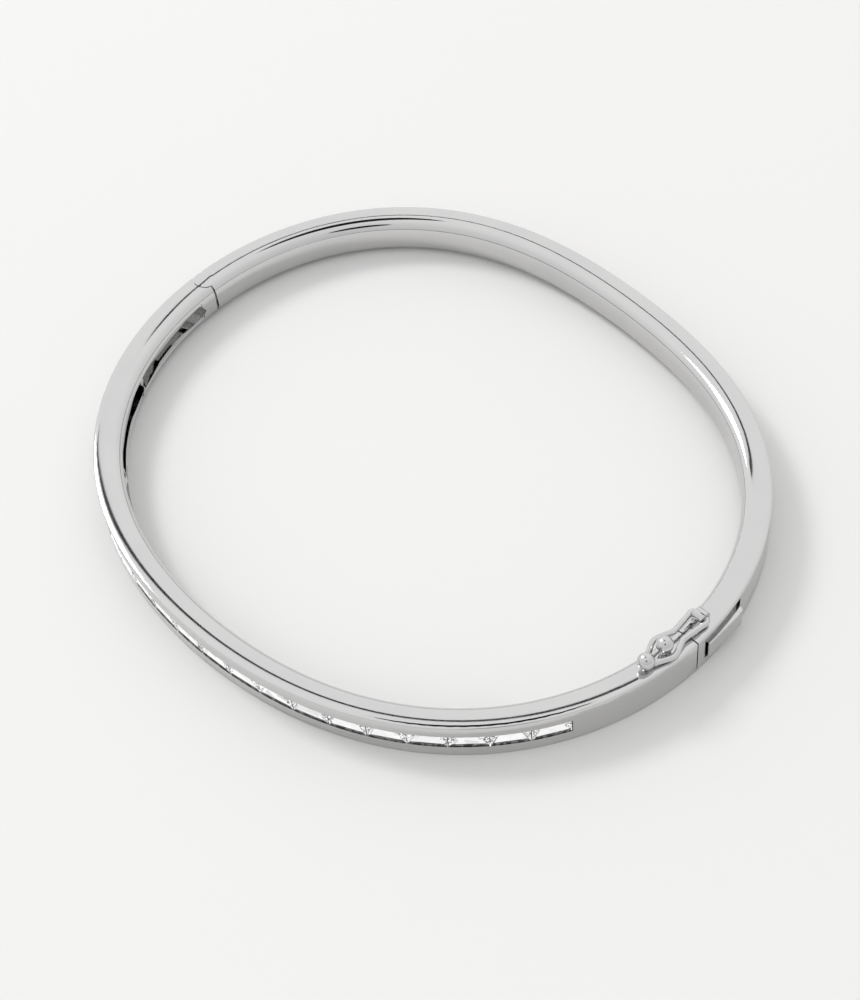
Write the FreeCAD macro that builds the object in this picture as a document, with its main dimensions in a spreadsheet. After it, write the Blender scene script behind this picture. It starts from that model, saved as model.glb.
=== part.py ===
import FreeCAD, Part

import bisect
import math
import os

import Sketcher

V = FreeCAD.Vector
UP = V(0, 0, 1)

# Hinged oval bangle with a row of channel-set baguette stones.
# Frame: origin in the middle of the wrist opening on the plane the bangle lies on, +Z up,
# +X towards the clasp, -X towards the hinge, -Y the stone half, +Y the plain half.
# A station is a distance in mm along the outer edge from the clasp seam, positive along
# the plain half. An offset is a distance out of the outer wall, so it is negative inside.

SIZES = {
    # outer edge seen from above: a circle with a few waves that make it a full oval
    "mean_radius": 30.0,
    "wave_oval": 0.0841,
    "wave_full": -0.0078,
    "wave_turn": -0.0099,
    "wave_front": 0.0100,
    "wave_clasp": 0.0074,
    # band: flat outer wall, crowned sides, rounded inside
    "band_height": 3.86,
    "band_depth": 2.60,
    "side_power": 3.5,
    "edge_round": 0.10,
    "foot_cut": 0.02,
    # clasp seam and the box behind it
    "seam_half_gap": 0.06,
    "collar_length": 0.95,
    "collar_roof": 1.08,
    "box_floor": 2.25,
    "box_wall": 0.50,
    "box_end": 7.30,
    "box_low": 0.80,
    "box_high": 3.06,
    "window_end": 6.10,
    "window_low": 0.85,
    "window_high": 3.45,
    "window_recess": 0.16,
    # tongue: fixed strip with a fold, and the springy leaf that comes back from it
    "strip_thick": 0.28,
    "strip_low": 1.00,
    "strip_high": 2.86,
    "strip_root": 2.00,
    "strip_root_in": 1.76,
    "strip_tip": 6.20,
    "strip_tip_in": 2.50,
    "leaf_end": 1.05,
    "leaf_end_in": 0.85,
    "leaf_root": 6.10,
    "leaf_root_in": 2.13,
    "fold_thick": 0.25,
    # thumb pad in the window
    "pad_start": 1.15,
    "pad_stop": 5.72,
    "pad_low": 0.97,
    "pad_high": 2.88,
    "pad_under": 0.62,
    "pad_rise_near": 0.26,
    "pad_rise_far": 0.06,
    "pad_groove": 0.14,
    "pad_groove_at": 5.12,
    "pad_round": 0.10,
    "pad_gap": 0.06,
    "pivot_along": 5.35,
    "pivot_in": 1.30,
    "pivot_radius": 0.33,
    "pivot_pin_radius": 0.20,
    "pivot_pin_low": 0.50,
    "pivot_pin_high": 3.40,
    "running_gap": 0.03,
    # safety catch on the upper side
    "catch_in": 1.52,
    "lug_along": 2.00,
    "lug_radius": 0.60,
    "lug_length": 1.00,
    "lug_lift": 0.40,
    "lug_foot": 0.40,
    "wire_radius": 0.26,
    "waist_half": 0.52,
    "lobe_radius": 1.09,
    "stud_along": 2.35,
    "ball_radius": 0.74,
    "ball_lift": 0.86,
    "post_radius": 0.28,
    "post_root": 0.80,
    "tip_along": 4.55,
    "tip_lift": 0.82,
    # well in the rim between the wires, in front of the lug
    "well_start": 0.40,
    "well_stop": 1.40,
    "well_half": 0.36,
    "well_depth": 0.45,
    # hinge
    "hinge_in": 1.02,
    "knuckle_radius": 1.00,
    "knuckle_gap": 0.08,
    "knuckle_low": 1.28,
    "knuckle_high": 2.58,
    "knuckle_end_gap": 0.06,
    "hinge_pin_radius": 0.38,
    "hinge_pin_low": 0.10,
    "hinge_pin_high": 3.30,
    "relief_angle": 34.0,
    "hinge_half_gap": 0.05,
    "hinge_seam_flare": 0.30,
    # stones and their channel
    "stone_count": 21,
    "stone_pitch": 3.37,
    "row_start": 12.13,
    "stone_length": 3.29,
    "stone_width": 1.72,
    "table_length": 2.36,
    "table_width": 0.98,
    "step_length": 2.90,
    "step_width": 1.40,
    "keel_length": 1.70,
    "keel_width": 0.20,
    "table_in": 0.10,
    "step_in": 0.26,
    "girdle_in": 0.50,
    "keel_in": 1.30,
    "channel_half": 0.73,
    "channel_depth": 1.45,
    "groove_half": 0.90,
    "groove_top": 0.27,
    "groove_bottom": 0.80,
    # slots through the inner wall behind the stones
    "slot_count": 6,
    "slot_first": 2.35,
    "slot_length": 11.30,
    "slot_pitch": 12.40,
    "slot_waist_half": 0.46,
    "slot_end_half": 0.72,
    "slot_end_length": 2.60,
    "slot_bevel": 0.22,
}


def fill_sheet(doc):
    sheet = doc.addObject("Spreadsheet::Sheet", "Sizes")
    for row, (alias, value) in enumerate(SIZES.items(), start=1):
        sheet.set("A%d" % row, alias)
        sheet.set("B%d" % row, str(value))
        sheet.setAlias("B%d" % row, alias)
    doc.recompute()
    return sheet


class Size:
    """A sheet size as a number together with the expression that gives it."""

    def __init__(self, value, text):
        self.value = value
        self.text = text

    def __add__(self, other):
        other = as_size(other)
        return Size(self.value + other.value, "(%s + %s)" % (self.text, other.text))

    def __sub__(self, other):
        other = as_size(other)
        return Size(self.value - other.value, "(%s - %s)" % (self.text, other.text))

    def __mul__(self, number):
        return Size(self.value * number, "(%s * %r)" % (self.text, number))

    def __neg__(self):
        return Size(-self.value, "(-1 * %s)" % self.text)


def as_size(number):
    if isinstance(number, Size):
        return number
    return Size(float(number), repr(float(number)))


doc = FreeCAD.newDocument("bangle")
sheet = fill_sheet(doc)


def num(alias):
    return float(getattr(sheet, alias))


def size(alias):
    return Size(num(alias), "Sizes.%s" % alias)


# ---------------------------------------------------------------- outer edge and stations


def edge_radius(angle):
    return num("mean_radius") * (
        1
        + num("wave_oval") * math.cos(2 * angle)
        + num("wave_full") * math.cos(4 * angle)
        + num("wave_turn") * math.sin(2 * angle)
        + num("wave_front") * math.sin(3 * angle)
        + num("wave_clasp") * math.cos(3 * angle)
    )


def edge_slope(angle):
    return num("mean_radius") * (
        -2 * num("wave_oval") * math.sin(2 * angle)
        - 4 * num("wave_full") * math.sin(4 * angle)
        + 2 * num("wave_turn") * math.cos(2 * angle)
        + 3 * num("wave_front") * math.cos(3 * angle)
        - 3 * num("wave_clasp") * math.sin(3 * angle)
    )


def tabulate_stations(count, spare):
    # angles a little past both ways round to the hinge, with the distance along the edge
    # from angle 0 at each
    step = math.pi / count
    angles = [i * step for i in range(-count - spare, count + spare + 1)]
    speeds = [math.hypot(edge_radius(a), edge_slope(a)) for a in angles]
    along = [0.0]
    for before, after in zip(speeds, speeds[1:]):
        along.append(along[-1] + 0.5 * (before + after) * step)
    zero = along[count + spare]
    return angles, [s - zero for s in along]


HALF_COUNT = 1440
SPARE_COUNT = 40
ANGLES, ALONG = tabulate_stations(HALF_COUNT, SPARE_COUNT)
FRONT_END = ALONG[SPARE_COUNT]
BACK_END = ALONG[-1 - SPARE_COUNT]


def angle_at(station):
    i = min(max(bisect.bisect_right(ALONG, station) - 1, 0), len(ALONG) - 2)
    share = (station - ALONG[i]) / (ALONG[i + 1] - ALONG[i])
    return ANGLES[i] + share * (ANGLES[i + 1] - ANGLES[i])


def frame_at(station):
    """Point on the outer edge, its tangent (towards larger stations) and outward normal."""
    angle = angle_at(station)
    r = edge_radius(angle)
    slope = edge_slope(angle)
    c = math.cos(angle)
    s = math.sin(angle)
    point = V(r * c, r * s, 0)
    tangent = V(slope * c - r * s, slope * s + r * c, 0)
    tangent.normalize()
    normal = V(tangent.y, -tangent.x, 0)
    return point, tangent, normal


def place_at(station, z=0.0):
    """Placement whose X axis points out of the wall and Y axis runs along it."""
    point, tangent, normal = frame_at(station)
    turn = math.degrees(math.atan2(normal.y, normal.x))
    return FreeCAD.Placement(V(point.x, point.y, z), FreeCAD.Rotation(UP, turn))


def offset_curve(start, stop, offset, z):
    count = max(4, int(math.ceil(abs(stop - start) / 2.0)) + 1)
    points = []
    for i in range(count):
        point, tangent, normal = frame_at(start + (stop - start) * i / (count - 1))
        points.append(V(point.x, point.y, z) + normal * offset)
    curve = Part.BSplineCurve()
    curve.interpolate(points)
    return curve.toShape(), points[0], points[-1]


def curved_block(start, stop, inner, outer, low, high):
    """Block that follows the wall from station to station, between two offsets."""
    far, far_first, far_last = offset_curve(start, stop, outer, low)
    near, near_first, near_last = offset_curve(start, stop, inner, low)
    ends = [Part.makeLine(far_first, near_first), Part.makeLine(far_last, near_last)]
    wire = Part.Wire(Part.__sortEdges__([far, near] + ends))
    return Part.Face(wire).extrude(V(0, 0, high - low))


# ---------------------------------------------------------------- band


def band_section(station):
    """Closed section: straight outer wall, small edge rounds, crowned and rounded rest."""
    point, tangent, normal = frame_at(station)
    half = num("band_height") / 2
    depth = num("band_depth")
    power = num("side_power")
    edge = num("edge_round")

    def at(offset, z):
        return V(point.x, point.y, half + z) + normal * offset

    body_points = []
    steps = 24
    for i in range(steps + 1):
        share = math.pi * i / steps
        offset = -edge - (depth - edge) * abs(math.sin(share)) ** (2 / power)
        z = half * math.copysign(abs(math.cos(share)) ** (2 / power), math.cos(share))
        body_points.append(at(offset, z))
    crown = Part.BSplineCurve()
    crown.interpolate(body_points)
    bend = edge * (1 - math.sqrt(0.5))
    upper = Part.Arc(at(0, half - edge), at(-bend, half - bend), at(-edge, half))
    lower = Part.Arc(at(-edge, -half), at(-bend, -half + bend), at(0, -half + edge))
    wall = Part.makeLine(at(0, -half + edge), at(0, half - edge))
    return Part.Wire([crown.toShape(), lower.toShape(), wall, upper.toShape()])


def band_piece(start, stop):
    """Band between two stations, lapped flat underneath where it stands."""
    spine, first, last = offset_curve(start, stop, 0.0, 0.0)
    sweep = Part.BRepOffsetAPI.MakePipeShell(Part.Wire([spine]))
    sweep.setBiNormalMode(UP)
    sweep.add(band_section(start))
    sweep.build()
    sweep.makeSolid()
    solid = sweep.shape()
    cut = num("foot_cut")
    solid.translate(V(0, 0, -cut))
    slab = Part.makeBox(90, 90, 2, V(-45, -45, -2))
    return solid.cut(slab)


# ---------------------------------------------------------------- hinge

HINGE_AT, HINGE_ALONG, HINGE_OUT = frame_at(BACK_END)
HINGE_CENTRE = HINGE_AT - HINGE_OUT * num("hinge_in")


def hinge_cylinder(radius, low, high):
    base = V(HINGE_CENTRE.x, HINGE_CENTRE.y, low)
    return Part.makeCylinder(radius, high - low, base)


def hinge_relief(side):
    """Wedge outside the hinge line; side +1 lies on the plain half, -1 on the stone half."""
    lean = math.radians(num("relief_angle"))
    reach = 4.0
    back = HINGE_ALONG * -side
    outward = HINGE_OUT * (reach * math.cos(lean)) + back * (reach * math.sin(lean))
    corners = [
        HINGE_CENTRE,
        HINGE_CENTRE + HINGE_OUT * reach - back * 0.5,
        HINGE_CENTRE + outward,
        HINGE_CENTRE,
    ]
    lowered = [V(c.x, c.y, -1) for c in corners]
    return Part.Face(Part.makePolygon(lowered)).extrude(V(0, 0, 7))


def hinge_seats(own_middle):
    """What a half loses round the knuckles, with its own knuckles seated without play."""
    own = num("knuckle_radius")
    free = own + num("knuckle_gap")
    low = num("knuckle_low")
    high = num("knuckle_high")
    gap = num("knuckle_end_gap")
    middle_radius = own if own_middle else free
    end_radius = free if own_middle else own
    middle_low = low if own_middle else low - gap
    middle_high = high if own_middle else high + gap
    return [
        hinge_cylinder(middle_radius, middle_low, middle_high),
        hinge_cylinder(end_radius, -1, middle_low),
        hinge_cylinder(end_radius, middle_high, 6),
    ]


def hinge_seam_flare():
    """Wedge taken off the stone half's end, wider towards the foot and the inside."""
    along = HINGE_ALONG
    start = HINGE_CENTRE + HINGE_OUT * 3
    gap = num("hinge_half_gap")
    foot = gap + num("hinge_seam_flare")
    corners = [
        start + V(0, 0, -1) - along * 1.0,
        start + V(0, 0, -1) + along * foot,
        start + V(0, 0, 5) + along * gap,
        start + V(0, 0, 5) - along * 1.0,
        start + V(0, 0, -1) - along * 1.0,
    ]
    return Part.Face(Part.makePolygon(corners)).extrude(HINGE_OUT * -8)


def knuckle(name, low, high, bore_low, bore_high, bore_radius):
    tube = hinge_cylinder(num("knuckle_radius"), low, high)
    shaped = tube.common(band_piece(BACK_END - 2.0, BACK_END + 2.0))
    return shape_part(name, shaped.cut(hinge_cylinder(bore_radius, bore_low, bore_high)))


# ---------------------------------------------------------------- document helpers

NODES = []


def finish_node(obj, name):
    obj.Label = name
    NODES.append((name, obj))
    return obj


def shape_part(name, shape, placement=None):
    obj = doc.addObject("Part::Feature", name)
    obj.Shape = shape
    if placement is not None:
        obj.Placement = placement
    return finish_node(obj, name)


def new_body(name):
    return finish_node(doc.addObject("PartDesign::Body", name), name)


def body_plane(body, role):
    return [f for f in body.Origin.OriginFeatures if f.Role == role][0]


def new_sketch(body, role, name, height=None):
    sketch = body.newObject("Sketcher::SketchObject", name)
    sketch.AttachmentSupport = [(body_plane(body, role), "")]
    sketch.MapMode = "FlatFace"
    if height is not None:
        sketch.setExpression("AttachmentOffset.Base.z", height.text)
    return sketch


def bind(sketch, constraint, expression):
    index = sketch.addConstraint(constraint)
    sketch.setExpression("Constraints[%d]" % index, expression)


def draw_polygon(sketch, corners):
    corners = [(as_size(x), as_size(y)) for x, y in corners]
    points = [V(x.value, y.value, 0) for x, y in corners]
    total = len(points)
    for i in range(total):
        sketch.addGeometry(Part.LineSegment(points[i], points[(i + 1) % total]), False)
    for i in range(total):
        sketch.addConstraint(Sketcher.Constraint("Coincident", i, 2, (i + 1) % total, 1))
    for i, (x, y) in enumerate(corners):
        across = Sketcher.Constraint("DistanceX", -1, 1, i, 1, x.value)
        bind(sketch, across, x.text)
        upward = Sketcher.Constraint("DistanceY", -1, 1, i, 1, y.value)
        bind(sketch, upward, y.text)


def draw_circle(sketch, x, y, radius):
    x = as_size(x)
    y = as_size(y)
    centre = V(x.value, y.value, 0)
    index = sketch.addGeometry(Part.Circle(centre, UP, radius.value), False)
    bind(sketch, Sketcher.Constraint("Radius", index, radius.value), radius.text)
    bind(sketch, Sketcher.Constraint("DistanceX", -1, 1, index, 3, x.value), x.text)
    bind(sketch, Sketcher.Constraint("DistanceY", -1, 1, index, 3, y.value), y.text)


def add_pad(body, sketch, name, length):
    feature = body.newObject("PartDesign::Pad", name)
    feature.Profile = sketch
    feature.setExpression("Length", length.text)
    body.Tip = feature
    doc.recompute()
    return feature


# ---------------------------------------------------------------- tongue and thumb pad


def tongue_base():
    body = new_body("tongue_strip")
    sketch = new_sketch(body, "XY_Plane", "strip_outline", size("strip_low"))
    half = size("strip_thick") * 0.5
    root_in = -size("strip_root_in")
    tip_in = -size("strip_tip_in")
    fold_top = -size("leaf_root_in") + half
    fold_far = size("strip_tip") + size("fold_thick")
    corners = [
        (root_in - half, -size("strip_root")),
        (tip_in - half, size("strip_tip")),
        (tip_in - half + 0.1, fold_far),
        (fold_top - 0.1, fold_far),
        (fold_top, fold_far - 0.1),
        (fold_top, size("strip_tip")),
        (tip_in + half, size("strip_tip")),
        (root_in + half, -size("strip_root")),
    ]
    draw_polygon(sketch, corners)
    add_pad(body, sketch, "strip", size("strip_high") - size("strip_low"))
    body.Placement = place_at(0.0)
    return body


def tongue_leaf():
    body = new_body("tongue_leaf")
    sketch = new_sketch(body, "XY_Plane", "leaf_outline", size("strip_low"))
    half = size("strip_thick") * 0.5
    end_in = -size("leaf_end_in")
    root_in = -size("leaf_root_in")
    corners = [
        (end_in - half, size("leaf_end")),
        (root_in - half, size("leaf_root")),
        (root_in + half, size("leaf_root")),
        (end_in + half, size("leaf_end")),
    ]
    draw_polygon(sketch, corners)
    add_pad(body, sketch, "leaf", size("strip_high") - size("strip_low"))
    body.Placement = place_at(0.0)
    return body


def thumb_pad():
    body = new_body("thumb_pad")
    sketch = new_sketch(body, "XY_Plane", "pad_outline", size("pad_low"))
    under = -size("pad_under")
    near = size("pad_rise_near")
    far = size("pad_rise_far")
    start = size("pad_start")
    stop = size("pad_stop")
    groove = size("pad_groove_at")
    deep = size("pad_groove")
    pivot_in = -size("pivot_in")
    pivot_along = size("pivot_along")
    r = size("pivot_radius")
    corners = [
        (under, start),
        (near, start),
        (far + 0.12, (start + groove) * 0.5),
        (far, groove),
        (far - deep, groove + 0.06),
        (far - 0.04, groove + 0.14),
        (far - 0.10, stop - 0.18),
        (far - 0.36, stop),
        (pivot_in - r * 0.2, stop - 0.04),
        (pivot_in - r, pivot_along + r * 0.4),
        (pivot_in - r, pivot_along - r * 0.6),
        (under - 0.18, pivot_along - r - 0.45),
    ]
    draw_polygon(sketch, corners)
    pad = add_pad(body, sketch, "pad", size("pad_high") - size("pad_low"))
    rounded = [
        "Edge%d" % (i + 1)
        for i, edge in enumerate(pad.Shape.Edges)
        if is_outer_long_edge(edge)
    ]
    fillet = body.newObject("PartDesign::Fillet", "pad_edges")
    fillet.Base = (pad, rounded)
    fillet.setExpression("Radius", "Sizes.pad_round")
    body.Tip = fillet
    doc.recompute()
    hole = new_sketch(body, "XY_Plane", "pivot_bore_circle")
    bore = size("pivot_pin_radius") + size("running_gap")
    draw_circle(hole, pivot_in, pivot_along, bore)
    pocket = body.newObject("PartDesign::Pocket", "pivot_bore")
    pocket.Profile = hole
    pocket.Type = 1
    pocket.Midplane = True
    body.Tip = pocket
    doc.recompute()
    body.Placement = place_at(0.0)
    return body


def is_outer_long_edge(edge):
    # the four edges of the outer face, ahead of the groove
    box = edge.BoundBox
    flat = box.ZLength < 0.01 and box.XMin > 0.0 and box.YMax < num("pad_groove_at") + 0.01
    upright = box.YLength < 0.01 and box.XMin > 0.2 and box.ZLength > 1.0
    return (flat and box.YLength > 1.0) or upright


def pivot_pin():
    body = new_body("thumb_pad_pin")
    sketch = new_sketch(body, "XY_Plane", "pin_circle", size("pivot_pin_low"))
    draw_circle(sketch, -size("pivot_in"), size("pivot_along"), size("pivot_pin_radius"))
    add_pad(body, sketch, "pin", size("pivot_pin_high") - size("pivot_pin_low"))
    body.Placement = place_at(0.0)
    return body


def in_clasp_frame(shape):
    shape.Placement = place_at(0.0).multiply(shape.Placement)
    return shape


# ---------------------------------------------------------------- safety catch


def safety_lug():
    body = new_body("safety_lug")
    sketch = new_sketch(body, "YZ_Plane", "lug_circle", size("catch_in") * -1)
    height = size("band_height") + size("lug_lift")
    draw_circle(sketch, size("lug_along"), height, size("lug_radius"))
    tube = body.newObject("PartDesign::Pad", "lug_tube")
    tube.Profile = sketch
    tube.Midplane = True
    tube.setExpression("Length", "Sizes.lug_length")
    body.Tip = tube
    doc.recompute()
    foot = new_sketch(body, "YZ_Plane", "lug_foot_outline", size("catch_in") * -1)
    side = size("lug_radius") * 0.92
    corners = [
        (size("lug_along") - side, size("band_height") - size("lug_foot")),
        (size("lug_along") + side, size("band_height") - size("lug_foot")),
        (size("lug_along") + side, height - 0.2),
        (size("lug_along") - side, height - 0.2),
    ]
    draw_polygon(foot, corners)
    block = body.newObject("PartDesign::Pad", "lug_foot")
    block.Profile = foot
    block.Midplane = True
    block.setExpression("Length", "Sizes.lug_length")
    body.Tip = block
    doc.recompute()
    bore = new_sketch(body, "YZ_Plane", "lug_bore_circle", size("catch_in") * -1)
    draw_circle(bore, size("lug_along"), height, size("wire_radius") + size("running_gap"))
    pocket = body.newObject("PartDesign::Pocket", "lug_bore")
    pocket.Profile = bore
    pocket.Type = 1
    pocket.Midplane = True
    body.Tip = pocket
    doc.recompute()
    body.Placement = place_at(0.0)
    return body


def tangent_point(outside, centre, radius, side):
    """Where a line from a point outside touches a circle, on its left (+1) or right (-1)."""
    away = outside - centre
    turn = math.atan2(away.y, away.x) + side * math.acos(radius / away.Length)
    return centre + V(radius * math.cos(turn), radius * math.sin(turn), 0)


def crossing(a, b, c, d):
    """Where the line through a and b meets the line through c and d."""
    first = b - a
    second = d - c
    share = (c - a).cross(second).z / first.cross(second).z
    return a + first * share


def rounded_path(corners):
    """Wire of straight runs joined by tangent arcs, from points with a radius at each."""
    edges = []
    last = corners[0][0]
    for before, corner, after in zip(corners, corners[1:], corners[2:]):
        point, radius = corner
        back = (before[0] - point).normalize()
        ahead = (after[0] - point).normalize()
        half = back.getAngle(ahead) / 2
        run = radius / math.tan(half)
        inward = (back + ahead).normalize()
        middle = point + inward * (radius / math.sin(half) - radius)
        edges.append(Part.makeLine(last, point + back * run))
        edges.append(Part.Arc(point + back * run, middle, point + ahead * run).toShape())
        last = point + ahead * run
    edges.append(Part.makeLine(last, corners[-1][0]))
    return Part.Wire(edges)


def wire_corners():
    """Corners of the wire's middle line: x across the band, y along it, from the catch's
    own middle line, for the half that lies outwards."""
    ball = V(0, -num("stud_along"), 0)
    lobe = num("lobe_radius")
    waist = V(num("waist_half"), -0.70, 0)
    tip = V(0.36, -num("tip_along") + 0.45, 0)
    leaving = tangent_point(waist, ball, lobe, -1)
    arriving = tangent_point(tip, ball, lobe, 1)
    shoulder = crossing(waist, leaving, tip, arriving)
    return [
        (V(0.14, num("lug_along"), 0), 0),
        (V(0.84, num("lug_along"), 0), 0.32),
        (waist, 0.80),
        (shoulder, lobe),
        (tip, 0.30),
    ]


def safety_loop():
    outer = wire_corners()
    inner = [(V(-point.x, point.y, 0), radius) for point, radius in reversed(outer)]
    high = num("band_height") + num("lug_lift")
    path = rounded_path(outer + inner)
    path.translate(V(-num("catch_in"), 0, high))
    start = V(0.14 - num("catch_in"), num("lug_along"), high)
    ring = Part.Wire([Part.makeCircle(num("wire_radius"), start, V(1, 0, 0))])
    loop = path.makePipeShell([ring], True, False)
    return shape_part("safety_loop", loop, place_at(0.0))


def tip_ball(loop):
    spot = V(-num("catch_in"), -num("tip_along"), num("band_height") + num("tip_lift"))
    ball = in_clasp_frame(Part.makeSphere(num("ball_radius"), spot))
    return shape_part("tip_ball", ball.cut(loop.Shape))


def catch_stud():
    body = new_body("catch_stud")
    sketch = new_sketch(body, "XY_Plane", "post_circle")
    height = size("band_height") - size("post_root")
    sketch.setExpression("AttachmentOffset.Base.z", height.text)
    draw_circle(sketch, -size("catch_in"), -size("stud_along"), size("post_radius"))
    add_pad(body, sketch, "post", size("post_root") + size("ball_lift"))
    ball = body.newObject("PartDesign::AdditiveSphere", "catch_ball")
    ball.setExpression("Radius", "Sizes.ball_radius")
    ball.AttachmentSupport = [(body_plane(body, "XY_Plane"), "")]
    ball.MapMode = "FlatFace"
    ball.setExpression("AttachmentOffset.Base.x", "-Sizes.catch_in")
    ball.setExpression("AttachmentOffset.Base.y", "-Sizes.stud_along")
    ball.setExpression("AttachmentOffset.Base.z", "Sizes.band_height + Sizes.ball_lift")
    body.Tip = ball
    doc.recompute()
    body.Placement = place_at(0.0)
    return body


# ---------------------------------------------------------------- the two halves


def plain_half(lug, pin):
    solid = band_piece(num("seam_half_gap"), BACK_END - num("hinge_half_gap"))
    wall = -num("box_wall")
    floor = -num("box_floor")
    collar = num("collar_length")
    box = curved_block(collar, num("box_end"), floor, wall, num("box_low"), num("box_high"))
    window_end = num("window_end")
    recess = curved_block(
        collar,
        window_end,
        -num("window_recess"),
        2.0,
        num("window_low"),
        num("window_high"),
    )
    window = curved_block(
        collar,
        window_end,
        wall - 0.06,
        2.0,
        num("pad_low") - num("pad_gap"),
        num("pad_high") + num("pad_gap"),
    )
    well = curved_block(
        num("well_start"),
        num("well_stop"),
        -num("catch_in") - num("well_half"),
        -num("catch_in") + num("well_half"),
        num("band_height") - num("well_depth"),
        num("band_height") + 1.0,
    )
    mouth_size = (num("box_floor") + 0.02 - num("collar_roof"), collar + 1.1)
    mouth = Part.makeBox(
        mouth_size[0],
        mouth_size[1],
        num("strip_high") - num("strip_low") + 0.2,
        V(-num("box_floor") - 0.02, -1.0, num("strip_low") - 0.1),
    )
    tools = [box, recess, window, well, in_clasp_frame(mouth), lug.Shape, pin.Shape, hinge_relief(1)]
    return shape_part("plain_half", solid.cut(tools + hinge_seats(False)))


def stone_channel():
    start = -num("row_start")
    stop = start - num("stone_count") * num("stone_pitch")
    middle = num("band_height") / 2
    half = num("channel_half")
    wide = num("groove_half")
    depth = -num("channel_depth")
    main = curved_block(stop, start, depth, 1.0, middle - half, middle + half)
    groove = curved_block(
        stop,
        start,
        -num("groove_bottom"),
        -num("groove_top"),
        middle - wide,
        middle + wide,
    )
    return [main, groove]


def slot_profile(half_length, waist, end, end_length, x):
    """Dog-bone outline in the local YZ plane at the given X."""
    middle = num("band_height") / 2
    inner = half_length - end_length
    upper = [
        (-half_length + end * 0.7, end),
        (-inner - 0.3, end),
        (-inner + 1.2, waist),
        (inner - 1.2, waist),
        (inner + 0.3, end),
        (half_length - end * 0.7, end),
        (half_length, 0.25 * end),
    ]
    lower = [(-y, -z) for y, z in upper]
    points = [V(x, y, middle + z) for y, z in upper + lower]
    return Part.makePolygon(points + points[:1])


def inner_slots():
    tools = []
    half_length = num("slot_length") / 2
    waist = num("slot_waist_half")
    end = num("slot_end_half")
    end_length = num("slot_end_length")
    bevel = num("slot_bevel")
    for i in range(int(num("slot_count"))):
        centre = FRONT_END + num("slot_first") + half_length + i * num("slot_pitch")
        floor_x = -num("channel_depth") + 0.05
        inner_x = -num("band_depth") - 1.2
        profile = slot_profile(half_length, waist, end, end_length, inner_x)
        slot = Part.Face(profile).extrude(V(floor_x - inner_x, 0, 0))
        slot.Placement = place_at(centre)
        tools.append(slot)
        rim = curved_block(
            centre - half_length - bevel,
            centre + half_length + bevel,
            -num("band_depth") - 0.5,
            -num("band_depth") + 0.12,
            num("band_height") / 2 - end - bevel,
            num("band_height") / 2 + end + bevel,
        )
        tools.append(rim)
    return tools


def stone_half(stud, strip):
    solid = band_piece(FRONT_END + num("hinge_half_gap"), -num("seam_half_gap"))
    tools = stone_channel() + inner_slots()
    tools += [stud.Shape, strip.Shape, hinge_relief(-1), hinge_seam_flare()]
    return shape_part("stone_half", solid.cut(tools + hinge_seats(True)))


# ---------------------------------------------------------------- stones


def taper(name, low_in, high_in, low_size, high_size):
    """Tapered block between two depths, its Y axis pointing out of the wall."""
    wedge = doc.addObject("Part::Wedge", name)
    for prop, (length, sign) in {
        "Xmin": (low_size[0], -0.5),
        "Xmax": (low_size[0], 0.5),
        "Zmin": (low_size[1], -0.5),
        "Zmax": (low_size[1], 0.5),
        "X2min": (high_size[0], -0.5),
        "X2max": (high_size[0], 0.5),
        "Z2min": (high_size[1], -0.5),
        "Z2max": (high_size[1], 0.5),
    }.items():
        wedge.setExpression(prop, (length * sign).text)
    wedge.setExpression("Ymin", (-low_in).text)
    wedge.setExpression("Ymax", (-high_in).text)
    return wedge


def stone(index):
    name = "stone_%02d" % (index + 1)
    girdle = (size("stone_length"), size("stone_width"))
    step = (size("step_length"), size("step_width"))
    table = (size("table_length"), size("table_width"))
    keel = (size("keel_length"), size("keel_width"))
    parts = [
        taper(name + "_pavilion", size("keel_in"), size("girdle_in"), keel, girdle),
        taper(name + "_crown", size("girdle_in"), size("step_in"), girdle, step),
        taper(name + "_top", size("step_in"), size("table_in"), step, table),
    ]
    fused = doc.addObject("Part::MultiFuse", name)
    fused.Shapes = parts
    station = -num("row_start") - (index + 0.5) * num("stone_pitch")
    turn = FreeCAD.Placement(V(0, 0, 0), FreeCAD.Rotation(UP, -90))
    place = place_at(station, num("band_height") / 2).multiply(turn)
    fused.Placement = place
    return finish_node(fused, name)


# ---------------------------------------------------------------- build and write


def build():
    lug = safety_lug()
    pin = pivot_pin()
    stud = catch_stud()
    strip = tongue_base()
    tongue_leaf()
    thumb_pad()
    tip_ball(safety_loop())
    doc.recompute()
    plain_half(lug, pin)
    stone_half(stud, strip)
    low = num("knuckle_low")
    high = num("knuckle_high")
    gap = num("knuckle_end_gap")
    pin_low = num("hinge_pin_low")
    pin_high = num("hinge_pin_high")
    pin_radius = num("hinge_pin_radius")
    free = pin_radius + num("running_gap")
    knuckle("knuckle_bottom", -1, low - gap, -1, 2, pin_radius)
    knuckle("knuckle_middle", low, high, 0, 5, free)
    knuckle("knuckle_top", high + gap, 6, 2, pin_high, pin_radius)
    shape_part("hinge_pin", hinge_cylinder(pin_radius, pin_low, pin_high))
    for index in range(int(num("stone_count"))):
        stone(index)
    doc.recompute()


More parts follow.
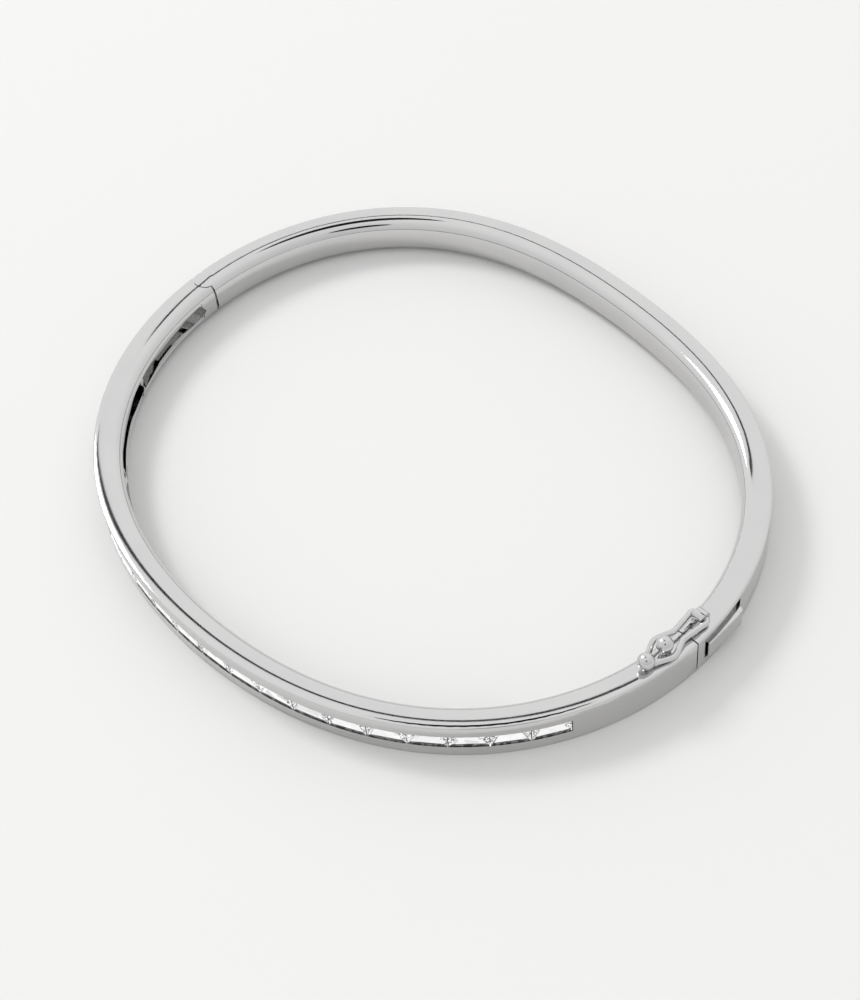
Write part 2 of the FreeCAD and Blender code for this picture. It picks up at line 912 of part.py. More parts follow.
def write():
    os.makedirs("parts", exist_ok=True)
    for obj in doc.Objects:
        if "Invalid" in obj.State or "Error" in obj.State:
            raise RuntimeError("bad state: " + obj.Name)
    for name, obj in NODES:
        shape = obj.Shape
        if shape.isNull() or not shape.isValid() or len(shape.Solids) != 1:
            raise RuntimeError("bad shape: %s (%d solids)" % (name, len(shape.Solids)))
        shape.exportStep("parts/%s.step" % name)
        box = shape.BoundBox
        print("%-16s %8.3f mm3  x %.2f..%.2f  y %.2f..%.2f  z %.2f..%.2f" % (
            name, shape.Volume, box.XMin, box.XMax, box.YMin, box.YMax, box.ZMin, box.ZMax))
    print("nodes:", len(NODES), "edge length:", round(BACK_END - FRONT_END, 2))
    print("hinge axis at", round(HINGE_CENTRE.x, 4), round(HINGE_CENTRE.y, 4))
    clasp = place_at(0.0)
    for label, point in {
        "pad pivot": V(-num("pivot_in"), num("pivot_along"), 0),
        "leaf pivot": V(-num("leaf_root_in"), num("strip_tip") + 0.1, 0),
        "catch pivot": V(-num("catch_in"), num("lug_along"), num("band_height") + num("lug_lift")),
    }.items():
        spot = clasp.multVec(point)
        print(label, round(spot.x, 4), round(spot.y, 4), round(spot.z, 4))
    out = clasp.Rotation.multVec(V(1, 0, 0))
    print("outward at the clasp", round(out.x, 6), round(out.y, 6))


build()
write()
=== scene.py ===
import math

import bmesh
import bpy
from mathutils import Matrix, Vector
from mathutils.bvhtree import BVHTree
from mathutils.interpolate import poly_3d_calc


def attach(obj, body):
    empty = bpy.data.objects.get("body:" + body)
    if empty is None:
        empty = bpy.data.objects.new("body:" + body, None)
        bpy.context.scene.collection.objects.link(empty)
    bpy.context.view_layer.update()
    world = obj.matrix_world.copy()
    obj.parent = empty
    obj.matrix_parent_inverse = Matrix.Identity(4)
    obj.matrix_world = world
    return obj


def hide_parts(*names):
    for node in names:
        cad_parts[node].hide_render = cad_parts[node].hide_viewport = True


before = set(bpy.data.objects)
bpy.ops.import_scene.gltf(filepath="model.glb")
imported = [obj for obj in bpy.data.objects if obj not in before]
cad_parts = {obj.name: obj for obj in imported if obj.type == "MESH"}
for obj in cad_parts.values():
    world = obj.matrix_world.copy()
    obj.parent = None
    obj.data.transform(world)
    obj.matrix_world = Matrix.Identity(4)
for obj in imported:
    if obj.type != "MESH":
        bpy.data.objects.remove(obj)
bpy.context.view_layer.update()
mm = 0.001
print("frame loaded:", len(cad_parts), "nodes")

# the oval edge and the band's section, in mm, as the two halves have them
band = {
    "meanRadius": 30.0, "oval": 0.0841, "full": -0.0078, "turn": -0.0099,
    "front": 0.0100, "clasp": 0.0074,
    "height": 3.86, "depth": 2.60, "power": 3.5, "edgeRound": 0.15, "footCut": 0.02,
    "roundSteps": 960, "sideSteps": 72, "wallSteps": 6, "cornerSteps": 6,
}


def deselectAll():
    for item in bpy.context.selected_objects:
        item.select_set(False)


def makeActive(item):
    deselectAll()
    item.select_set(True)
    bpy.context.view_layer.objects.active = item


def edgeAt(angle):
    # point on the outer edge, with its outward normal and its direction
    b = band
    radius = b["meanRadius"] * (1 + b["oval"] * math.cos(2 * angle) + b["full"] * math.cos(4 * angle)
                                + b["turn"] * math.sin(2 * angle) + b["front"] * math.sin(3 * angle)
                                + b["clasp"] * math.cos(3 * angle))
    slope = b["meanRadius"] * (-2 * b["oval"] * math.sin(2 * angle) - 4 * b["full"] * math.sin(4 * angle)
                               + 2 * b["turn"] * math.cos(2 * angle) + 3 * b["front"] * math.cos(3 * angle)
                               - 3 * b["clasp"] * math.sin(3 * angle))
    across, along = math.cos(angle), math.sin(angle)
    point = Vector((radius * across, radius * along, 0))
    heading = Vector((slope * across - radius * along, slope * along + radius * across, 0)).normalized()
    return point, Vector((heading.y, -heading.x, 0)), heading


def bandSection():
    # (offset out of the wall, height) round the closed section, starting at the top
    half, depth, power, small = band["height"] / 2, band["depth"], band["power"], band["edgeRound"]
    points = []
    for i in range(band["sideSteps"] + 1):
        share = math.pi * i / band["sideSteps"]
        out = -small - (depth - small) * abs(math.sin(share)) ** (2 / power)
        up = half * math.copysign(abs(math.cos(share)) ** (2 / power), math.cos(share))
        points.append((out, half + up))
    for i in range(1, band["cornerSteps"] + 1):
        turn = math.pi / 2 * i / band["cornerSteps"]
        points.append((-small + small * math.sin(turn), small - small * math.cos(turn)))
    for i in range(1, band["wallSteps"]):
        points.append((0, small + (2 * half - 2 * small) * i / band["wallSteps"]))
    for i in range(band["cornerSteps"]):
        turn = math.pi / 2 * i / band["cornerSteps"]
        points.append((-small + small * math.cos(turn), 2 * half - small + small * math.sin(turn)))
    return [(out, max(0.0, up - band["footCut"])) for out, up in points]


def makeGauge():
    # a clean, very fine ring of the band's true surface, which lends the halves its normals
    section = bandSection()
    rounds, steps = band["roundSteps"], len(section)
    deselectAll()
    bpy.ops.mesh.primitive_grid_add(x_subdivisions=steps, y_subdivisions=rounds, size=0.06)
    gauge = bpy.context.object
    for i in range(rounds + 1):
        point, out, heading = edgeAt(2 * math.pi * i / rounds)
        for j in range(steps + 1):
            offset, high = section[j % steps]
            place = point + out * offset
            gauge.data.vertices[i * (steps + 1) + j].co = Vector((place.x, place.y, high)) * mm
    makeActive(gauge)
    bpy.ops.object.mode_set(mode="EDIT")
    bpy.ops.mesh.select_all(action="SELECT")
    bpy.ops.mesh.remove_doubles(threshold=0.0000001)
    bpy.ops.mesh.normals_make_consistent(inside=False)
    bpy.ops.object.mode_set(mode="OBJECT")
    bpy.ops.object.shade_smooth()
    return gauge


def cleanCopy(nodeName, pieceName, cuts):
    # a merged copy of a CAD node, split finer so that its normals can follow the surface
    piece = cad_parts[nodeName].copy()
    piece.data = piece.data.copy()
    piece.parent = None
    piece.name = pieceName
    piece.data.name = pieceName
    for key in list(piece.keys()):
        del piece[key]
    bpy.context.scene.collection.objects.link(piece)
    makeActive(piece)
    bpy.ops.object.mode_set(mode="EDIT")
    bpy.ops.mesh.select_all(action="SELECT")
    bpy.ops.mesh.remove_doubles(threshold=0.000001)
    if cuts:
        bpy.ops.mesh.subdivide(number_cuts=cuts)
    bpy.ops.object.mode_set(mode="OBJECT")
    bpy.ops.object.shade_smooth()
    return piece


def lendNormals(piece, gauge):
    # faces that lie on the band's surface take its normals, the rest keep their own
    mesh, source = piece.data, gauge.data
    tree = BVHTree.FromPolygons([v.co for v in source.vertices], [p.vertices for p in source.polygons])
    found = []
    for vertex in mesh.vertices:
        spot, flat, index, away = tree.find_nearest(vertex.co)
        corners = source.polygons[index].vertices
        shares = poly_3d_calc([source.vertices[c].co for c in corners], spot)
        normal = Vector((0, 0, 0))
        for share, corner in zip(shares, corners):
            normal += source.vertices[corner].normal * share
        found.append((normal.normalized(), away))
    normals = []
    for face in mesh.polygons:
        flat = face.normal
        for index in face.vertices:
            normal, away = found[index]
            onBand = away < 0.08 * mm and normal.dot(flat) > 0.75
            normals.append(normal if onBand else flat.copy())
    mesh.normals_split_custom_set(normals)


gauge = makeGauge()
halves = {}
for nodeName, pieceName in (("stone_half", "stoneHalf"), ("plain_half", "plainHalf")):
    halves[pieceName] = cleanCopy(nodeName, pieceName, 1)
    lendNormals(halves[pieceName], gauge)
    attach(halves[pieceName], "stone_side" if nodeName == "stone_half" else "plain_side")
    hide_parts(nodeName)
bpy.data.objects.remove(gauge)
print("halves ready")

# stones: one baguette, copied along the channel
baguette = {
    "count": 21, "pitch": 3.37, "rowStart": 12.13,
    "long": 3.29, "wide": 1.44, "girdleIn": 0.17, "tableIn": 0.05, "keelIn": 1.26,
    "topInset": 0.06, "lowInset": 0.46, "lowEnd": 0.30, "topEnd": 0.74, "step": 0.04, "tilt": 0.02,
}


def angleAtStation(station):
    # walks along the outer edge from the clasp
    angle, walked, step = 0.0, 0.0, -math.radians(0.05)
    last = edgeAt(0.0)[0]
    while walked > station:
        angle += step
        point = edgeAt(angle)[0]
        walked -= (point - last).length
        last = point
    return angle


def makeBaguette():
    # x along the row, y out of the wall, z up
    s = baguette
    deselectAll()
    bpy.ops.mesh.primitive_cube_add(size=1)
    piece = bpy.context.object
    piece.scale = (s["long"] * mm, (s["keelIn"] - s["girdleIn"]) * mm, s["wide"] * mm)
    piece.location = (0, -(s["keelIn"] + s["girdleIn"]) / 2 * mm, 0)
    bpy.ops.object.transform_apply(location=True, rotation=True, scale=True)
    bpy.ops.object.mode_set(mode="EDIT")
    bpy.ops.mesh.select_mode(type="FACE")
    bpy.ops.mesh.select_all(action="DESELECT")
    mesh = bmesh.from_edit_mesh(piece.data)
    for face in mesh.faces:
        if face.normal.y > 0.9:
            face.select_set(True)
    bmesh.update_edit_mesh(piece.data)
    # the girdle, a narrow step inside it, then the crown up to the table
    bpy.ops.mesh.extrude_region_move(TRANSFORM_OT_translate={"value": (0, s["step"] * mm, 0)})
    bpy.ops.mesh.inset(thickness=0.03 * mm)
    rise = s["girdleIn"] - s["tableIn"] - s["step"]
    bpy.ops.mesh.extrude_region_move(TRANSFORM_OT_translate={"value": (0, rise * mm, 0)})
    mesh = bmesh.from_edit_mesh(piece.data)
    table = max(v.co.y for v in mesh.verts)
    for vertex in mesh.verts:
        if vertex.co.y > table - 0.001 * mm:
            upper = vertex.co.z > 0
            end = s["topEnd"] if upper else s["lowEnd"]
            vertex.co.x = math.copysign((s["long"] / 2 - end) * mm, vertex.co.x)
            vertex.co.z = (s["wide"] / 2 - s["topInset"]) * mm if upper else -(s["wide"] / 2 - s["lowInset"]) * mm
            vertex.co.y -= s["tilt"] * mm if upper else 0
        if vertex.co.y < -(s["keelIn"] - 0.01) * mm:
            vertex.co.x *= 0.55
            vertex.co.z *= 0.14
    mesh.normal_update()
    edge = (s["wide"] / 2 - s["lowInset"]) * mm
    # faces sorted for the stone's painted light: sides and back take painted shade, the table a painted glow, the
    # low middle facet painted shade, the rest painted glints
    for face in mesh.faces:
        middle = face.calc_center_median()
        if face.normal.y < 0.1:
            face.material_index = 3
        elif all(v.co.y > table - 2 * s["tilt"] * mm for v in face.verts):
            face.material_index = 0
        elif middle.z < -edge and abs(middle.x) < 0.3 * s["long"] * mm:
            face.material_index = 1
        else:
            face.material_index = 2
    bmesh.update_edit_mesh(piece.data)
    bpy.ops.mesh.select_all(action="SELECT")
    bpy.ops.mesh.normals_make_consistent(inside=False)
    bpy.ops.object.mode_set(mode="OBJECT")
    bpy.ops.object.shade_flat()
    return piece


def setStones():
    s = baguette
    model = makeBaguette()
    stones = []
    for index in range(s["count"]):
        angle = angleAtStation(-s["rowStart"] - (index + 0.5) * s["pitch"])
        point, out, heading = edgeAt(angle)
        stone = model.copy()
        stone.data = model.data.copy()
        stone.name = "stone%02dCut" % (index + 1)
        bpy.context.scene.collection.objects.link(stone)
        place = Matrix.Identity(4)
        # the stone's own x runs against the heading, y points out of the wall, z stays up
        for row in range(3):
            place[row][0], place[row][1], place[row][2] = -heading[row], out[row], (0, 0, 1)[row]
        place.translation = Vector((point.x, point.y, band["height"] / 2 - band["footCut"])) * mm
        stone.data.transform(place)
        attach(stone, "stone_side")
        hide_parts("stone_%02d" % (index + 1))
        stones.append(stone)
    bpy.data.objects.remove(model)
    return stones


stones = setStones()
print("stones set:", len(stones))


# the safety catch, lug and stud beside the clasp seam
clasp = {
    "seamAngle": 0.0, "catchIn": 1.52, "lugAlong": 2.00, "lugRadius": 0.60, "lugLong": 1.00,
    "lugHigh": 4.26, "lugFoot": 3.46, "lugSpread": 0.92, "lugBore": 0.29,
    "wireRadius": 0.26, "wireCorner": 0.84, "cornerRound": 0.32, "waist": 0.52, "waistAlong": -0.70,
    "waistRound": 0.80, "lobeRadius": 1.09, "tipHalf": 0.36, "tipRound": 0.30, "tipGap": 0.45,
    "studAlong": 2.35, "ballRadius": 0.74, "ballFlat": 0.95, "ballHigh": 4.72, "postRadius": 0.28, "postFoot": 3.06,
    "tipAlong": 4.55, "tipHigh": 4.68, "arcSteps": 14,
}


def claspPlace(out, along, high):
    # from the clasp's own directions, in mm, to the frame's metres
    origin, outward, heading = edgeAt(clasp["seamAngle"])
    return (origin + outward * out + heading * along + Vector((0, 0, high))) * mm


def claspTurn():
    origin, outward, heading = edgeAt(clasp["seamAngle"])
    return Matrix((outward, heading, Vector((0, 0, 1)))).transposed().to_4x4()


def applyPlace(piece):
    makeActive(piece)
    bpy.ops.object.transform_apply(location=True, rotation=True, scale=True)


def uniteWith(first, second, operation="UNION"):
    makeActive(first)
    cut = first.modifiers.new("unite", "BOOLEAN")
    cut.operation = operation
    cut.object = second
    cut.solver = "EXACT"
    bpy.ops.object.modifier_apply(modifier="unite")
    bpy.data.objects.remove(second)
    return first


def bevelEdges(piece, width, segments, angle):
    makeActive(piece)
    rounding = piece.modifiers.new("rounding", "BEVEL")
    rounding.width = width * mm
    rounding.segments = segments
    rounding.limit_method = "ANGLE"
    rounding.angle_limit = math.radians(angle)
    rounding.harden_normals = False
    bpy.ops.object.modifier_apply(modifier="rounding")
    bpy.ops.object.shade_smooth_by_angle(angle=math.radians(40))


def makeBall(name, along, high):
    # a polished ball with a small flat underneath, where it faces the rim
    c = clasp
    deselectAll()
    bpy.ops.mesh.primitive_uv_sphere_add(segments=64, ring_count=40, radius=c["ballRadius"] * mm,
                                         location=claspPlace(-c["catchIn"], -along, high))
    ball = bpy.context.object
    ball.name = name
    applyPlace(ball)
    bpy.ops.object.mode_set(mode="EDIT")
    bpy.ops.mesh.select_all(action="SELECT")
    flat = claspPlace(-c["catchIn"], -along, high - c["ballFlat"] * c["ballRadius"])
    bpy.ops.mesh.bisect(plane_co=flat, plane_no=(0, 0, 1), use_fill=True, clear_inner=True,
                        threshold=0.0000001)
    bpy.ops.mesh.select_all(action="SELECT")
    bpy.ops.mesh.normals_make_consistent(inside=False)
    bpy.ops.object.mode_set(mode="OBJECT")
    bpy.ops.object.shade_smooth_by_angle(angle=math.radians(40))
    return ball


def addPost(ball, along, low, high, radius):
    c = clasp
    deselectAll()
    bpy.ops.mesh.primitive_cylinder_add(vertices=40, radius=radius * mm, depth=(high - low) * mm,
                                        location=claspPlace(-c["catchIn"], -along, (high + low) / 2))
    post = bpy.context.object
    applyPlace(post)
    uniteWith(ball, post)
    makeActive(ball)
    bpy.ops.object.shade_smooth_by_angle(angle=math.radians(40))
    return ball


def tangentPoint(outside, centre, radius, side):
    away = outside - centre
    turn = math.atan2(away.y, away.x) + side * math.acos(radius / away.length)
    return centre + Vector((radius * math.cos(turn), radius * math.sin(turn), 0))


def crossing(a, b, c, d):
    first, second = b - a, d - c
    share = (c - a).cross(second).z / first.cross(second).z
    return a + first * share


def roundCorners(corners, steps):
    # straight runs joined by arcs, sampled for the wire's middle line
    points = [corners[0][0]]
    for before, corner, after in zip(corners, corners[1:], corners[2:]):
        point, radius = corner
        back, ahead = (before[0] - point).normalized(), (after[0] - point).normalized()
        half = back.angle(ahead) / 2
        centre = point + (back + ahead).normalized() * (radius / math.sin(half))
        run = radius / math.tan(half)
        start, stop = point + back * run - centre, point + ahead * run - centre
        sweep = math.pi - 2 * half
        sign = 1 if start.cross(stop).z > 0 else -1
        for i in range(steps + 1):
            points.append(centre + Matrix.Rotation(sign * sweep * i / steps, 3, "Z") @ start)
    points.append(corners[-1][0])
    return points


def makeSafetyLoop():
    c = clasp
    ball = Vector((0, -c["studAlong"], 0))
    waist = Vector((c["waist"], c["waistAlong"], 0))
    tip = Vector((c["tipHalf"], -c["tipAlong"] + c["tipGap"], 0))
    leaving = tangentPoint(waist, ball, c["lobeRadius"], -1)
    arriving = tangentPoint(tip, ball, c["lobeRadius"], 1)
    shoulder = crossing(waist, leaving, tip, arriving)
    outer = [(Vector((0.0, c["lugAlong"], 0)), 0), (Vector((c["wireCorner"], c["lugAlong"], 0)), c["cornerRound"]),
             (waist, c["waistRound"]), (shoulder, c["lobeRadius"]), (tip, c["tipRound"])]
    inner = [(Vector((-point.x, point.y, 0)), radius) for point, radius in reversed(outer[1:])]
    path = roundCorners(outer + inner + [outer[0]], c["arcSteps"])[:-1]
    data = bpy.data.curves.new("safetyWire", "CURVE")
    data.dimensions = "3D"
    data.bevel_depth = c["wireRadius"] * mm
    data.bevel_resolution = 8
    line = data.splines.new("POLY")
    line.points.add(len(path) - 1)
    for point, spot in zip(line.points, path):
        point.co = (*claspPlace(spot.x - c["catchIn"], spot.y, c["lugHigh"]), 1)
    line.use_cyclic_u = True
    wire = bpy.data.objects.new("safetyWire", data)
    bpy.context.scene.collection.objects.link(wire)
    makeActive(wire)
    bpy.ops.object.convert(target="MESH")
    wire = bpy.context.object
    bpy.ops.object.mode_set(mode="EDIT")
    bpy.ops.mesh.select_all(action="SELECT")
    bpy.ops.mesh.remove_doubles(threshold=0.0000005)
    bpy.ops.mesh.normals_make_consistent(inside=False)
    bpy.ops.object.mode_set(mode="OBJECT")
    bpy.ops.object.shade_smooth()
    return wire


def makeLug():
    # a barrel across the rim on a short foot, bored for the wire
    c = clasp
    middle = claspPlace(-c["catchIn"], c["lugAlong"], c["lugHigh"])
    across = claspTurn() @ Matrix.Rotation(math.pi / 2, 4, "Y")
    deselectAll()
    bpy.ops.mesh.primitive_cylinder_add(vertices=72, radius=c["lugRadius"] * mm, depth=c["lugLong"] * mm,
                                        location=middle, rotation=across.to_euler())
    barrel = bpy.context.object
    barrel.name = "safetyBarrel"
    applyPlace(barrel)
    deselectAll()
    top = c["lugHigh"] - 0.1
    footPlace = claspPlace(-c["catchIn"], c["lugAlong"], (top + c["lugFoot"]) / 2)
    bpy.ops.mesh.primitive_cube_add(size=1, location=footPlace, rotation=claspTurn().to_euler())
    foot = bpy.context.object
    foot.scale = (c["lugLong"] * 0.999 * mm, 2 * c["lugRadius"] * c["lugSpread"] * mm, (top - c["lugFoot"]) * mm)
    applyPlace(foot)
    uniteWith(barrel, foot)
    bevelEdges(barrel, 0.07, 3, 50)
    deselectAll()
    bpy.ops.mesh.primitive_cylinder_add(vertices=48, radius=c["lugBore"] * mm, depth=2 * c["lugLong"] * mm,
                                        location=middle, rotation=across.to_euler())
    bore = bpy.context.object
    applyPlace(bore)
    uniteWith(barrel, bore, "DIFFERENCE")
    bpy.ops.object.shade_smooth_by_angle(angle=math.radians(40))
    return barrel


def setPiece(piece, body, node):
    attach(piece, body)
    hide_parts(node)
    return piece


tipBall = setPiece(makeBall("tipBall", clasp["tipAlong"], clasp["tipHigh"]), "catch", "tip_ball")
catchStud = setPiece(addPost(makeBall("catchStud", clasp["studAlong"], clasp["ballHigh"]), clasp["studAlong"],
                             clasp["postFoot"], clasp["ballHigh"], clasp["postRadius"]), "stone_side", "catch_stud")
safetyWire = setPiece(makeSafetyLoop(), "catch", "safety_loop")
safetyBarrel = setPiece(makeLug(), "plain_side", "safety_lug")
print("safety catch ready")


# materials
def newMaterial(name):
    material = bpy.data.materials.new(name)
    material.use_nodes = True
    nodes, links = material.node_tree.nodes, material.node_tree.links
    shader = nodes["Principled BSDF"]
    coordinates = nodes.new("ShaderNodeTexCoord")
    return material, nodes, links, shader, coordinates.outputs["Object"]


def addNoise(nodes, links, place, scale, detail):
    noise = nodes.new("ShaderNodeTexNoise")
    noise.inputs["Scale"].default_value = scale
    noise.inputs["Detail"].default_value = detail
    links.new(place, noise.inputs["Vector"])
    return noise


def addRamp(nodes, links, source, stops):
    ramp = nodes.new("ShaderNodeValToRGB")
    ramp.color_ramp.elements[0].position, ramp.color_ramp.elements[0].color = stops[0]
    ramp.color_ramp.elements[1].position, ramp.color_ramp.elements[1].color = stops[-1]
    for position, color in stops[1:-1]:
        ramp.color_ramp.elements.new(position).color = color
    links.new(source, ramp.inputs["Fac"])
    return ramp.outputs["Color"]


def grey(value, warm=0.0):
    return (value, value * (1 - warm * 0.5), value * (1 - warm), 1)


def addBump(nodes, links, shader, heights, strength, distance):
    bump = nodes.new("ShaderNodeBump")
    bump.inputs["Strength"].default_value = strength
    bump.inputs["Distance"].default_value = distance
    links.new(heights, bump.inputs["Height"])
    links.new(bump.outputs["Normal"], shader.inputs["Normal"])


def polishedMetal(name, bright, rough, spread):
    material, nodes, links, shader, place = newMaterial(name)
    shader.inputs["Metallic"].default_value = 1.0
    cloud = addNoise(nodes, links, place, 180, 3)
    links.new(addRamp(nodes, links, cloud.outputs["Fac"],
                      [(0.3, grey(bright - 0.02)), (0.7, grey(bright + 0.01, 0.01))]), shader.inputs["Base Color"])
    buffing = addNoise(nodes, links, place, 900, 5)
    spreadNode = nodes.new("ShaderNodeMapRange")
    spreadNode.inputs["To Min"].default_value = rough - spread
    spreadNode.inputs["To Max"].default_value = rough + spread
    links.new(buffing.outputs["Fac"], spreadNode.inputs["Value"])
    links.new(spreadNode.outputs["Result"], shader.inputs["Roughness"])
    waves = addNoise(nodes, links, place, 260, 2)
    addBump(nodes, links, shader, waves.outputs["Fac"], 0.05, 0.00002)
    return material


def stoneWithPaintedLight(name, stops, scale, paintedGlow, bend):
    # painted light: small sharp-edged patches of painted highlight and painted shade, standing in for the light a
    # cut stone gives back from inside it
    material, nodes, links, shader, place = newMaterial(name)
    cells = nodes.new("ShaderNodeTexVoronoi")
    cells.inputs["Scale"].default_value = scale
    links.new(place, cells.inputs["Vector"])
    split = nodes.new("ShaderNodeSeparateColor")
    links.new(cells.outputs["Color"], split.inputs["Color"])
    color = addRamp(nodes, links, split.outputs["Red"], stops)
    links.new(color, shader.inputs["Base Color"])
    # the same patches are given off as a painted glow, though the stone is no lamp
    links.new(color, shader.inputs["Emission Color"])
    shader.inputs["Emission Strength"].default_value = paintedGlow
    shader.inputs["Roughness"].default_value = 0.04
    shader.inputs["IOR"].default_value = bend
    ripple = addNoise(nodes, links, place, 700, 2)
    addBump(nodes, links, shader, ripple.outputs["Fac"], 0.08, 0.00003)
    return material


silver = polishedMetal("polishedSilver", 0.63, 0.06, 0.02)
springSilver = polishedMetal("drawnSilver", 0.55, 0.22, 0.06)
# the table: bright painted highlight patches with a painted glow
tablePaintedGlow = stoneWithPaintedLight("stoneTablePaintedGlow", [(0.0, grey(0.60)), (0.22, grey(0.86)), (0.6, grey(0.95)), (1.0, grey(1.0))], 900, 0.22, 1.7)
# the low middle facet: near-black painted shade
lowFacetPaintedShade = stoneWithPaintedLight("stoneLowFacetPaintedShade", [(0.0, grey(0.01)), (0.55, grey(0.06)), (1.0, grey(0.34))], 4200, 0.0, 1.2)
# the end and remaining facets: fine painted glints of light and dark, with a painted glow
endPaintedGlints = stoneWithPaintedLight("stoneEndFacetPaintedGlints", [(0.0, grey(0.03)), (0.3, grey(0.30)), (0.6, grey(0.85)), (1.0, grey(1.0))], 8500, 0.28, 1.7)
# the stone's sides and back: dark painted shade
backPaintedShade = stoneWithPaintedLight("stoneBackPaintedShade", [(0.0, grey(0.01)), (0.6, grey(0.03)), (1.0, grey(0.10))], 1500, 0.0, 1.5)

for piece in halves.values():
    piece.data.materials.clear()
    piece.data.materials.append(silver)
for stone in stones:
    for material in (tablePaintedGlow, lowFacetPaintedShade, endPaintedGlints, backPaintedShade):
        stone.data.materials.append(material)

for piece in (tipBall, catchStud, safetyWire, safetyBarrel):
    piece.data.materials.clear()
    piece.data.materials.append(silver)

# a live modifier that shades the CAD's small metal smoothly and leaves its mesh as it is
softShading = bpy.data.node_groups.new("softShading", "GeometryNodeTree")
softShading.interface.new_socket("Geometry", in_out="INPUT", socket_type="NodeSocketGeometry")
softShading.interface.new_socket("Geometry", in_out="OUTPUT", socket_type="NodeSocketGeometry")
groupIn = softShading.nodes.new("NodeGroupInput")
groupOut = softShading.nodes.new("NodeGroupOutput")
smoothFaces = softShading.nodes.new("GeometryNodeSetShadeSmooth")
softShading.links.new(groupIn.outputs[0], smoothFaces.inputs["Geometry"])
softShading.links.new(smoothFaces.outputs["Geometry"], groupOut.inputs[0])

smallMetal = ["thumb_pad", "knuckle_bottom", "knuckle_middle", "knuckle_top"]
springMetal = ["tongue_strip", "tongue_leaf", "hinge_pin", "thumb_pad_pin"]
for nodeName in smallMetal + springMetal:
    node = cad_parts[nodeName]
    for slot in node.material_slots:
        slot.material = silver if nodeName in smallMetal else springSilver
    weld = node.modifiers.new("weld", "WELD")
    weld.merge_threshold = 0.000001
    soften = node.modifiers.new("softShading", "NODES")
    soften.node_group = softShading
    split = node.modifiers.new("crispEdges", "EDGE_SPLIT")
    split.split_angle = math.radians(32)
print("materials done")

# studio
studio = {
    "floorSide": 1.6, "floorGrey": 0.80,
    "keyPlace": (-0.95, -0.12, 0.85), "keySize": 0.36, "keyPower": 5.6,
    "brightSide": (-0.70, 0.36, 0.62), "nearGrey": 0.74, "farGrey": 1.06,
    "gapAcross": (0.3165, -0.7812, 0.5379), "gapMiddle": (-0.545, 0.318, 0.776), "gapHalf": 0.019,
    "gapReach": 0.972, "gapGrey": 0.02,
    "standMiddle": (-0.230, 0.181, 0.956), "standReach": 8.0, "lensMiddle": (0.451, -0.355, 0.819),
    "lensReach": 10.0,
}
viewpoint = {
    "azimuth": 51.77, "elevation": 50.45, "roll": -7.20, "distance": 163.1, "lens": 65.4,
    "aimAcross": 0.1275, "aimBack": -3.923,
}


def makeFloor():
    deselectAll()
    side = studio["floorSide"]
    bpy.ops.mesh.primitive_plane_add(size=side)
    floor = bpy.context.object
    floor.name = "floor"
    floor.location.z = -0.00002
    material, nodes, links, shader, place = newMaterial("paleFloor")
    cloud = addNoise(nodes, links, place, 6, 2)
    low, high = studio["floorGrey"] - 0.004, studio["floorGrey"] + 0.004
    links.new(addRamp(nodes, links, cloud.outputs["Fac"], [(0.3, grey(low, 0.012)), (0.7, grey(high, 0.012))]),
              shader.inputs["Base Color"])
    shader.inputs["Roughness"].default_value = 0.9
    shader.inputs["Specular IOR Level"].default_value = 0.1
    floor.data.materials.append(material)
    return floor


def areaLight(name, place, size, power):
    data = bpy.data.lights.new(name, "AREA")
    data.shape = "SQUARE"
    data.size = size
    data.energy = power
    lamp = bpy.data.objects.new(name, data)
    bpy.context.scene.collection.objects.link(lamp)
    lamp.location = place
    lamp.rotation_euler = (-Vector(place)).to_track_quat("-Z", "Y").to_euler()
    return lamp


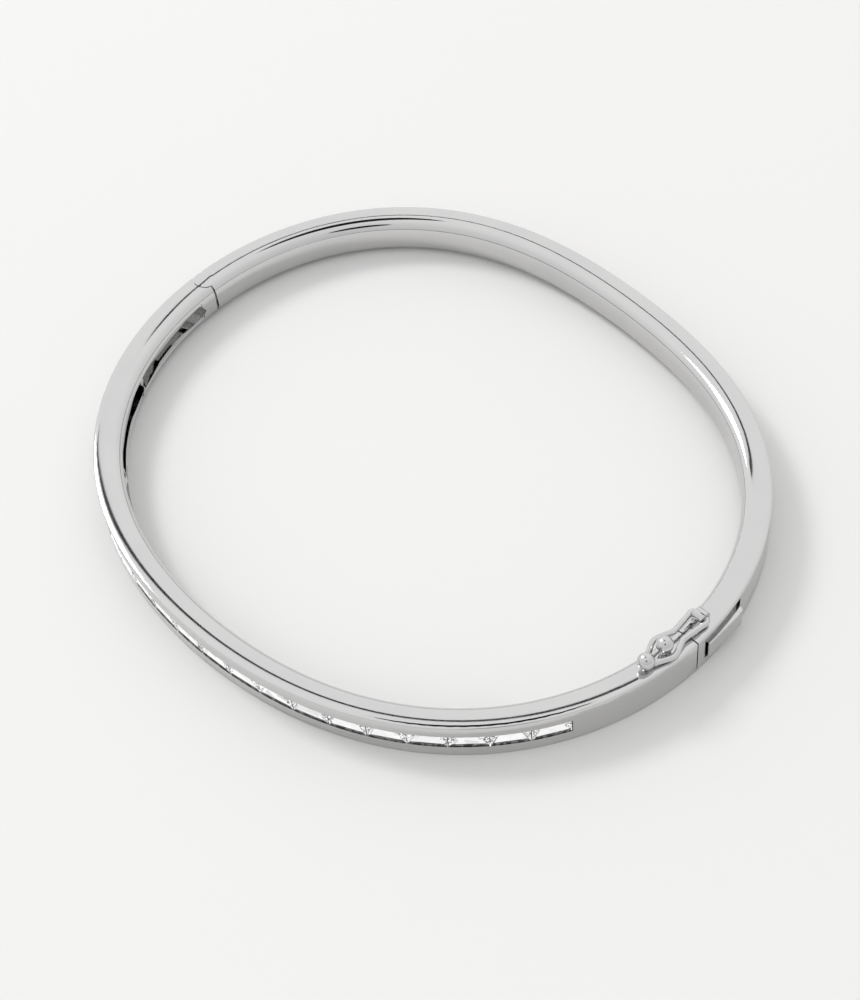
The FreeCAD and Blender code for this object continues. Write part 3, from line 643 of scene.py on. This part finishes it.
def makeSky():
    # a soft room, brightest on the far left, with one narrow dark gap between its two diffusers
    s = studio
    world = bpy.data.worlds.new("softStudio")
    world.use_nodes = True
    bpy.context.scene.world = world
    nodes, links = world.node_tree.nodes, world.node_tree.links
    background = nodes["Background"]
    place = nodes.new("ShaderNodeTexCoord").outputs["Generated"]

    def along(direction):
        dot = nodes.new("ShaderNodeVectorMath")
        dot.operation = "DOT_PRODUCT"
        dot.inputs[1].default_value = Vector(direction).normalized()
        links.new(place, dot.inputs[0])
        return dot.outputs["Value"]

    def work(operation, first, second, third=0.0):
        step = nodes.new("ShaderNodeMath")
        step.operation = operation
        for socket, value in zip(step.inputs, (first, second, third)):
            if isinstance(value, float):
                socket.default_value = value
            else:
                links.new(value, socket)
        return step.outputs["Value"]

    middle = (s["nearGrey"] + s["farGrey"]) / 2
    room = addRamp(nodes, links, work("MULTIPLY_ADD", along(s["brightSide"]), 0.5, 0.5),
                   [(0.10, grey(s["nearGrey"])), (0.62, grey(middle)), (0.92, grey(s["farGrey"]))])
    inGap = work("LESS_THAN", work("ABSOLUTE", along(s["gapAcross"]), 0.0), s["gapHalf"])
    nearGap = work("GREATER_THAN", along(s["gapMiddle"]), s["gapReach"])
    # the dark arm of the stand over the table, and the lens
    dark = work("MULTIPLY", inGap, nearGap)
    for middleName, reachName in (("standMiddle", "standReach"), ("lensMiddle", "lensReach")):
        inside = work("GREATER_THAN", along(s[middleName]), math.cos(math.radians(s[reachName])))
        dark = work("MAXIMUM", dark, inside)
    mix = nodes.new("ShaderNodeMix")
    mix.data_type = "RGBA"
    links.new(dark, mix.inputs[0])
    links.new(room, mix.inputs[6])
    mix.inputs[7].default_value = grey(s["gapGrey"])
    links.new(mix.outputs[2], background.inputs["Color"])
    return world


def makeCamera():
    v = viewpoint
    turn = Matrix.Rotation(math.radians(v["azimuth"]), 3, "Z")
    lift, roll = math.radians(v["elevation"]), math.radians(v["roll"])
    back = turn @ Vector((0, -math.cos(lift), math.sin(lift)))
    side = turn @ Vector((1, 0, 0))
    up = turn @ Vector((0, math.sin(lift), math.cos(lift)))
    right = side * math.cos(roll) + up * math.sin(roll)
    top = up * math.cos(roll) - side * math.sin(roll)
    place = (turn @ Vector((v["aimAcross"], v["aimBack"], 0)) + back * v["distance"]) * mm
    data = bpy.data.cameras.new("camera")
    data.lens = v["lens"]
    data.sensor_width = 36
    data.clip_start, data.clip_end = 0.01, 10
    camera = bpy.data.objects.new("camera", data)
    bpy.context.scene.collection.objects.link(camera)
    facing = Matrix((right, top, back)).transposed().to_4x4()
    facing.translation = place
    camera.matrix_world = facing
    bpy.context.scene.camera = camera
    return camera


makeFloor()
areaLight("keyLight", studio["keyPlace"], studio["keySize"], studio["keyPower"])
makeSky()
makeCamera()
bpy.context.scene.view_settings.view_transform = "Standard"
bpy.context.view_layer.update()
print("studio ready")
